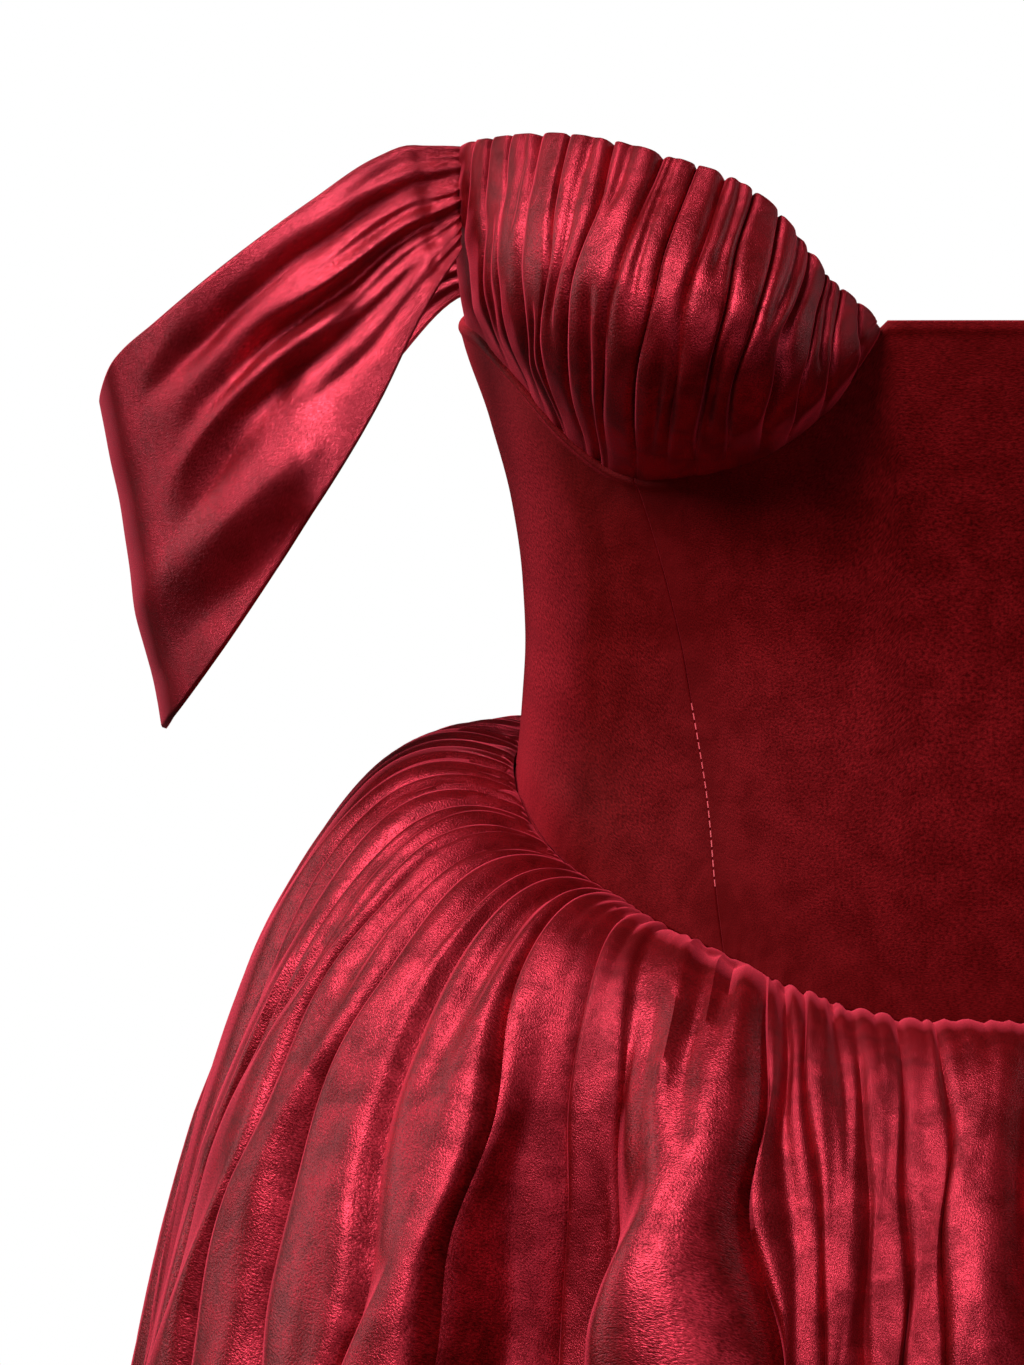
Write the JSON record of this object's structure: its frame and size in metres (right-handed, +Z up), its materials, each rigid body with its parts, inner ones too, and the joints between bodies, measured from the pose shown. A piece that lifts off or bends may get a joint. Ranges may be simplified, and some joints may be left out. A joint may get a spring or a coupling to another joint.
{
  "type": "peplum midi dress",
  "caption": "Off-shoulder midi dress with gathered cups, draped sleeves, a pointed waist seam, a full gathered peplum and a straight skirt, worn and hollow.",
  "frame": {"origin": "centre of the wearer's waist, level with the narrowest part of the bodice", "axes": "+Z up the wearer, +X to the wearer's left, the dress faces -Y"},
  "size_m": [0.582, 0.4534, 0.8848],
  "materials": {
    "velvet": "matte",
    "zip_tape": "matte"
  },
  "bodies": {
    "root": {"bodice_centre_front": "velvet", "bodice_side_front_left": "velvet", "bodice_side_front_right": "velvet", "bodice_back_left": "velvet", "bodice_back_right": "velvet", "cup_left": "velvet", "cup_right": "velvet", "sleeve_left": "velvet", "sleeve_right": "velvet", "peplum_front": "velvet", "peplum_back_left": "velvet", "peplum_back_right": "velvet", "skirt_front": "velvet", "skirt_back_left": "velvet", "skirt_back_right": "velvet", "back_zip": "zip_tape"}
  },
  "joints": []
}
